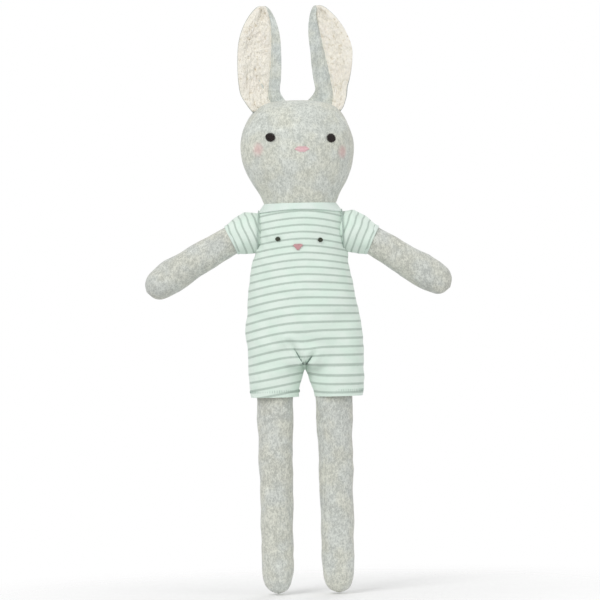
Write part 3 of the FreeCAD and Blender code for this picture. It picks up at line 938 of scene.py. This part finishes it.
def add_inner_wall(piece, sign):
    """Closes a hip piece along the doll's middle with a wall of faces, so that the crotch stays shut."""
    mesh = bmesh.new()
    mesh.from_mesh(piece.data)
    rows = []
    edge = [v.co / MM for v in mesh.verts if v.is_boundary]
    rim = [p for p in edge if abs(p.x - slumped((0, 0, p.z)).x) < 0.05]
    low = min(p.z for p in rim)
    for z in frange(low + 0.3, HIP_LINE_Z, 1.5):
        near = [p.y for p in rim if abs(p.z - z) < 1.6]
        front, back = min(near) + 0.7, max(near) - 0.7
        at = slumped((0.3 * sign, 0, z)).x
        rows.append([mesh.verts.new(Vector((at, front + (back - front) * k / 8, z)) * MM) for k in range(9)])
    for lower, upper in zip(rows, rows[1:]):
        for k in range(8):
            mesh.faces.new((lower[k], lower[k + 1], upper[k + 1], upper[k]))
    mesh.to_mesh(piece.data)
    mesh.free()


def make_romper():
    body = romper_blank()
    shape_romper(body)
    upper = cut_piece(body, "romper_body", [((0, 0, HIP_LINE_Z), (0, 0, -1))])
    finish_mesh(upper, stripes, body_stripe)
    attach(upper, "torso", "romper_front", "romper_back_left", "romper_back_right")
    make_shaded_crotch_seams(body)
    for side, sign in SIDES:
        below_waist = ((0, 0, HIP_LINE_Z), (0, 0, 1))
        own_side = ((0, 0, 0), (-sign, 0, 0))
        piece = cut_piece(body, "romper_hip_" + side, [below_waist, own_side])
        add_inner_wall(piece, sign)
        finish_mesh(piece, stripes, body_stripe)
        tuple(HIP_BEND[0])
        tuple(HIP_BEND[1])
        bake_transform(piece)
        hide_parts("romper_leg_" + side)
    bpy.data.objects.remove(body)


def ring_band(name, centre, out, radius, width, thick, ribs, body, node):
    """Folded fabric band round an axis, with fine ribs and rounded edges."""
    out = out.normalized()
    side = out.cross(Vector((0, 1, 0))).normalized()
    up = out.cross(side).normalized()
    steps = 14
    section = []
    for a in angles(steps):
        along = copysign(abs(cos(a)) ** 0.5, cos(a)) * width / 2
        section.append((along, copysign(abs(sin(a)) ** 0.7, sin(a)) * thick / 2))
    verts = []
    for i, a in enumerate(angles(ribs * 2)):
        direction = side * cos(a) + up * sin(a)
        ripple = 0.025 * (1 if i % 2 else -1)
        wave = 0.25 * sin(3 * a + 1.0)
        for along, across in section:
            lift = across + (ripple if across > 0 else 0)
            verts.append(centre + direction * (radius + lift) + out * (along + wave * 0.4))
    band = new_object(name, verts, hoop_faces(ribs * 2, steps), rib)
    round_off(band)
    attach(band, body, node)


def make_neckband():
    """Plain folded band that rises from the shoulders and closes in round the neck."""
    around = 220
    outline = []
    for t in frange(0, 1, 0.1):
        outline.append((27.2 - 3.9 * t ** 0.75, 246.9 + 4.9 * t + 0.25 * sin(pi * t)))
    outline += [(22.9, COLLAR_TOP_Z + 0.1), (22.55, COLLAR_TOP_Z - 0.3)]
    outline += [(23.0, 250.0), (24.6, 247.4), (26.4, 246.3)]
    verts = []
    for i, a in enumerate(angles(around)):
        rib_lift = 0.06 * (1 if i % 2 else -1)
        for k, (r, z) in enumerate(outline):
            flare = share((250.5 - z) / 4)
            wide = r + flare * (0.8 * cos(a) ** 2 - 1.7 * sin(a) ** 2)
            lift = rib_lift if k < 11 else 0.0
            drop = 1.1 * flare * cos(2 * a)
            verts.append(slumped(((wide + lift) * cos(a), (wide + lift) * sin(a), z - drop)))
    band = new_object("neckband", verts, hoop_faces(around, len(outline)), rib)
    round_off(band)
    attach(band, "torso", "romper_neckband")


def make_inner_torso():
    """Knit body under the romper, closed at the bottom and dished at the top for the head."""
    inset = 2.1
    rings = []
    for z in frange(169, 246.2, 3.0):
        half_w, half_d = lerp_table(TORSO_PROFILE, z)
        tuck = 2.5 * max(0.0, (172 - z) / 3) ** 2
        rings.append(oval(0, z, half_w - 0.7 - inset - tuck, half_d - inset - tuck))
    for radius, z in ((20.8, 246.4), (19.8, 244.6), (14.5, 240.8), (7.0, 238.0)):
        rings.append(oval(0, z, radius, radius))
    verts = [slumped(p) for ring in rings for p in ring]
    verts += [slumped((0, 0, 169.0)), slumped((0, 0, 237.3))]
    torso = new_object("torso_knit", verts, ring_faces(len(rings), len(rings[0])), knit_inner)
    fix_normals(torso)
    attach(torso, "torso", "torso_front", "torso_back", "torso_stuffing")


def back_surface(x, z, lift):
    """Point on the back of the romper, following its folds."""
    half_w, half_d = lerp_table(TORSO_PROFILE, z)
    y = half_d * sqrt(max(1 - (x / half_w) ** 2, 0.0))
    return slumped((x, y + lift + wrinkle((x, y, z)), z))


def make_back_lap():
    """Lap of the centre-back opening: a folded strip with a row of stitches down each side."""
    low_z, high_z = 186.0, 246.5
    left_x, right_x = -5.2, 4.2
    levels = frange(low_z, high_z, 1.0)
    across = [(left_x - 0.3, -0.8), (left_x, 0.2), (left_x + 1.2, 0.45)]
    across += [(x, 0.5) for x in frange(-2.5, right_x - 1.5, 1.1)]
    across += [(right_x - 0.6, 0.5), (right_x, 0.2), (right_x + 0.2, -0.8)]
    verts = []
    for inner in (False, True):
        for z in levels:
            end = min(1.0, (z - low_z) / 1.5, (high_z - z) / 1.5)
            for x, lift in across:
                verts.append(back_surface(x, z, (-1.6 if inner else lift) * end - 0.4 * (1 - end)))
    lap = new_object("back_lap", verts, slab_faces(len(levels), len(across)), stripes, body_stripe)
    fix_normals(lap)
    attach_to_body(lap, "torso")
    parts = []
    for x in (left_x + 1.4, right_x - 1.4):
        for z in frange(low_z + 1.5, high_z - 3.0, 2.4):
            ends = [back_surface(x, z + dz, lift) for dz, lift in ((0.0, 0.35), (0.7, 0.68), (1.5, 0.35))]
            parts.append(tube(ends, 0.15, 5))
    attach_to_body(new_object("back_lap_stitches", *merge(parts), seam_thread), "torso")


def make_hems():
    for side, sign in SIDES:
        centre = slumped((sign * SHORTS_HEM_X, 0, SHORTS_HEM_Z + 1.4))
        ring_band("leg_hem_band_" + side, centre, Vector((0, 0, 1)), SHORTS_BAND_R, 3.0, 0.8, 80,
                  "leg_" + side, "leg_hem_" + side)
        parts = []
        for a in angles(64):
            direction = Vector((cos(a), sin(a), 0))
            low = centre + direction * (SHORTS_BAND_R + 0.65) + Vector((0, 0, 1.2))
            high = centre + direction * (SHORTS_BAND_R + 0.8) + Vector((0, 0, 3.0))
            parts.append(tube([low, (low + high) / 2 + direction * 0.15, high], 0.14, 5))
        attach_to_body(new_object("leg_hem_stitches_" + side, *merge(parts), seam_thread), "leg_" + side)


def make_gusset():
    """Folded strip of fabric under the crotch, from front to back between the legs."""
    verts = []
    rows, cols = 14, 12
    top = 160.0
    for side in (1, -1):
        for r in range(rows + 1):
            y = -14 + 28 * r / rows
            low = CROTCH_Z + 1.5 + 0.02 * y * y
            for c in range(cols + 1):
                z = low + (top - low) * c / cols
                half = 0.4 + 3.6 * (c / cols) ** 2
                verts.append(slumped((side * half, y, z)))
    obj = new_object("crotch_gusset", verts, slab_faces(rows + 1, cols + 1), stripes, body_stripe)
    fix_normals(obj)
    attach(obj, "torso", "romper_gusset")


def make_romper_face():
    for side, sign in SIDES:

        def place(u, v, lift, sign=sign):
            z = 228.3 - 0.6 * sign + v
            return slumped(on_front(lerp_table(TORSO_PROFILE, z), sign * 13.4 - 0.9 + u, z, 0.5 + lift))

        thread_patch("romper_eye_" + side, place, disc_rows(1.5, 0.05, 0.36), 0.24, green_thread, "torso")

    def nose_place(u, v, lift):
        return slumped(on_front(lerp_table(TORSO_PROFILE, 223.6 + v), u - 1.6, 223.6 + v, 0.5 + lift))

    rows = nose_rows(3.1, 2.0, 1.9, 1.0, -2.2, 0.5, 0.36)
    thread_patch("romper_nose", nose_place, rows, 0.22, rose_thread, "torso")


# ---- sleeves and arms


def sleeve_rows(hem):
    """Rings from inside the armhole to the hem, as (centre, direction, radius)."""
    out_end = Vector((cos(HEM_TILT), 0, -sin(HEM_TILT)))
    out_start = (hem - SHOULDER).normalized()
    rows = []
    for angle in frange(radians(-84), 0.0, radians(6)):
        ball = SLEEVE_BALL_R - 1.5 * min(1.0, -angle / 0.35)
        rows.append((SHOULDER + out_start * ball * sin(angle), out_start, ball * cos(angle)))
    for t in frange(0.06, 1.0, 0.055):
        centre = SHOULDER.lerp(hem, t)
        out = out_start.lerp(out_end, t).normalized()
        swell = 0.2 * sin(pi * min(1.0, t * 1.1))
        radius = SLEEVE_BALL_R + (SLEEVE_HEM_R - SLEEVE_BALL_R) * t ** 1.1 + swell
        rows.append((centre, out, radius))
    return rows


def make_sleeve(side, sign):
    around = 80
    hem = SLEEVE_HEMS[side]
    verts = []
    rows = sleeve_rows(hem)
    for centre, out, radius in rows:
        across = Vector((-out.z, 0, out.x))
        for a in angles(around):
            direction = across * cos(a) + Vector((0, 1, 0)) * sin(a)
            p = centre + direction * radius
            lump = bumps(p, 8, 0.9, 6.0 + sign) + 0.35 * sin(7 * a + 1) * bell(p.x - 33, 4)
            live = share((p.x - 33) / 4)
            p = p + direction * lump * live
            if sign < 0:
                p = mirror_x(p)
            near = 1 - share((abs(p.x) - SHOULDER.x) / (hem.x - SHOULDER.x))
            p.x += LIMB_SHIFT * near
            verts.append(p)
    out_mean = (hem - SHOULDER).normalized()

    def along(p):
        q = Vector((abs(p[0]), p[1], p[2]))
        gather = 0.05 * sin(q.y * 0.5 + q.z * 0.35)
        return -(q - hem).dot(out_mean) / 4.4 + 0.12 + gather

    faces = ring_faces(len(rows), around, False)
    sleeve = new_object("sleeve_" + side, verts, faces, stripes, along)
    fix_normals(sleeve)
    solid = sleeve.modifiers.new("cloth", "SOLIDIFY")
    solid.thickness = 0.7 * MM
    solid.offset = -1
    subdivide(sleeve)
    attach(sleeve, "arm_" + side, "romper_sleeve_" + side)
    out = Vector((sign * cos(HEM_TILT), 0, -sin(HEM_TILT)))
    hem_centre = hem if sign > 0 else mirror_x(hem)
    ring_band("sleeve_hem_band_" + side, hem_centre - out * 1.2, out, SLEEVE_HEM_R - 0.25, 2.6, 0.9, 60,
              "arm_" + side, "sleeve_hem_" + side)


def make_armhole_seam(side, sign):
    """Sunk seam round the armhole, where the sleeve meets the romper body; it thins out at the top."""
    points = []
    r = sqrt((SLEEVE_BALL_R + 0.35) ** 2 - (ARMHOLE_X - SHOULDER.x) ** 2)
    for a in angles(72) + [2 * pi]:
        p = Vector((ARMHOLE_X - 0.5 * sin(a), r * cos(a), SHOULDER.z + r * sin(a)))
        points.append(slumped(p if sign > 0 else mirror_x(p)))
    cord = tube(points, lambda t: 0.42 - 0.34 * bell(t - 0.25, 0.05), 8)
    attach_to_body(new_object("armhole_seam_" + side, *cord, seam_thread), "torso")


def make_limb(body, profile, place, seed):
    """Stuffed knit tube, lumpy, with a sunk seam along its back; place(p) carries a point into the doll."""
    around = 64
    levels = frange(profile[0][0], profile[-1][0], 1.4)
    verts = []
    for z in levels:
        r = max(0.02, lerp_table(profile, z)[0])
        for a in angles(around):
            p = Vector((r * cos(a), r * sin(a), z))
            size = min(1.0, r / 6)
            lump = (bumps(p, 13, 0.9, seed) + bumps(p, 5.5, 0.3, seed + 4)) * size
            seam = -0.4 * bell(p.x if abs(p.y) > r * 0.5 else 9, 0.7) * size if p.y > 0 else 0.0
            direction = Vector((cos(a), sin(a), 0))
            verts.append(place(p + direction * (lump + seam)))
    verts += [place(Vector((0, 0, z))) for z in (levels[0], levels[-1])]
    limb = new_object(body + "_knit", verts, ring_faces(len(levels), around), knit)
    round_off(limb)
    attach(limb, body, body + "_skin", body + "_stuffing")


def make_limbs():
    for side, sign in SIDES:

        def arm_place(p, sign=sign, rise=ARM_RISES[side], droop=ARM_DROOPS[side]):
            along = ARM_LENGTH - p.z
            q = SHOULDER + Vector((sin(droop), 0, cos(droop))) * (rise + p.x)
            q = q + Vector((cos(droop), 0, -sin(droop))) * along
            q.y += p.y
            return q if sign > 0 else mirror_x(q)

        def leg_place(p, sign=sign):
            return Vector((LIMB_SHIFT + sign * (HIP.x + p.x - 0.6 + (150 - p.z) * 0.004), p.y, p.z))

        make_limb("arm_" + side, ARM_PROFILE, arm_place, 2.0 + sign)
        make_limb("leg_" + side, LEG_PROFILE, leg_place, 7.0 + sign)
        make_sleeve(side, sign)
        make_armhole_seam(side, sign)


# ---- hidden parts keep their CAD shape


def dress_hidden_nodes():
    for name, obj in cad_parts.items():
        material = filling if "stuffing" in name else tape if "closure" in name else knit_inner
        obj.data.materials.clear()
        obj.data.materials.append(material)


# ---- stage, light and camera


def make_stage():
    """Round pale floor that fades out into the pale surroundings."""
    mesh = bpy.data.meshes.new("studio_floor")
    floor_z, radius, around = -0.0006, 0.9, 96
    verts = [(radius * cos(a), radius * sin(a), floor_z) for a in angles(around)]
    mesh.from_pydata(verts, [], [tuple(range(around))])
    mesh.materials.append(floor_material())
    object_of("studio_floor", mesh)


def add_light(name, place, size, power, aim):
    data = bpy.data.lights.new(name, "AREA")
    data.shape = "RECTANGLE"
    data.size, data.size_y = size
    data.energy = power
    light = object_of(name, data)
    light.location = place
    light.rotation_euler = (Vector(aim) - Vector(place)).to_track_quat("-Z", "Y").to_euler()


def make_world():
    """White surroundings: seen as plain white, and softer as light."""
    world = bpy.data.worlds.new("studio")
    world.use_nodes = True
    tree = world.node_tree
    background = tree.nodes["Background"]
    background.inputs[0].default_value = (1, 1, 1, 1)
    seen = tree.nodes.new("ShaderNodeLightPath")
    level = tree.nodes.new("ShaderNodeMapRange")
    level.inputs["To Min"].default_value = AMBIENT
    level.inputs["To Max"].default_value = 1.0
    tree.links.new(seen.outputs["Is Camera Ray"], level.inputs["Value"])
    tree.links.new(level.outputs["Result"], background.inputs[1])
    bpy.context.scene.world = world


def make_light_and_camera():
    aim = (0, 0, 0.19)
    add_light("key", (-0.9, -1.5, 1.5), (0.9, 0.9), KEY_POWER, aim)
    add_light("fill", (1.4, -1.3, 0.7), (1.2, 1.2), KEY_POWER * 0.3, aim)
    add_light("back", (0.5, 1.7, 1.2), (1.2, 1.2), KEY_POWER * 0.4, aim)
    make_world()
    bpy.context.scene.view_settings.view_transform = "Standard"
    distance = 2.6
    view_width = 387.6 * MM
    data = bpy.data.cameras.new("camera")
    data.sensor_width = 36
    data.lens = 36 * distance / view_width
    data.clip_end = 20
    camera = object_of("camera", data)
    roll = radians(1.3)
    target = Vector((0.0006, 0, 0.1895))
    camera.location = target + Vector((0, -distance, 0.0))
    camera.rotation_euler = (Matrix.Rotation(roll, 3, "Y") @ Matrix.Rotation(pi / 2, 3, "X")).to_euler()
    bpy.context.scene.camera = camera


dress_hidden_nodes()
make_head()
make_face()
for ear_side, ear_sign in SIDES:
    make_ear(ear_side, ear_sign)
make_romper()
make_inner_torso()
make_gusset()
make_neckband()
make_back_lap()
make_hems()
make_romper_face()
make_limbs()
make_stage()
make_light_and_camera()
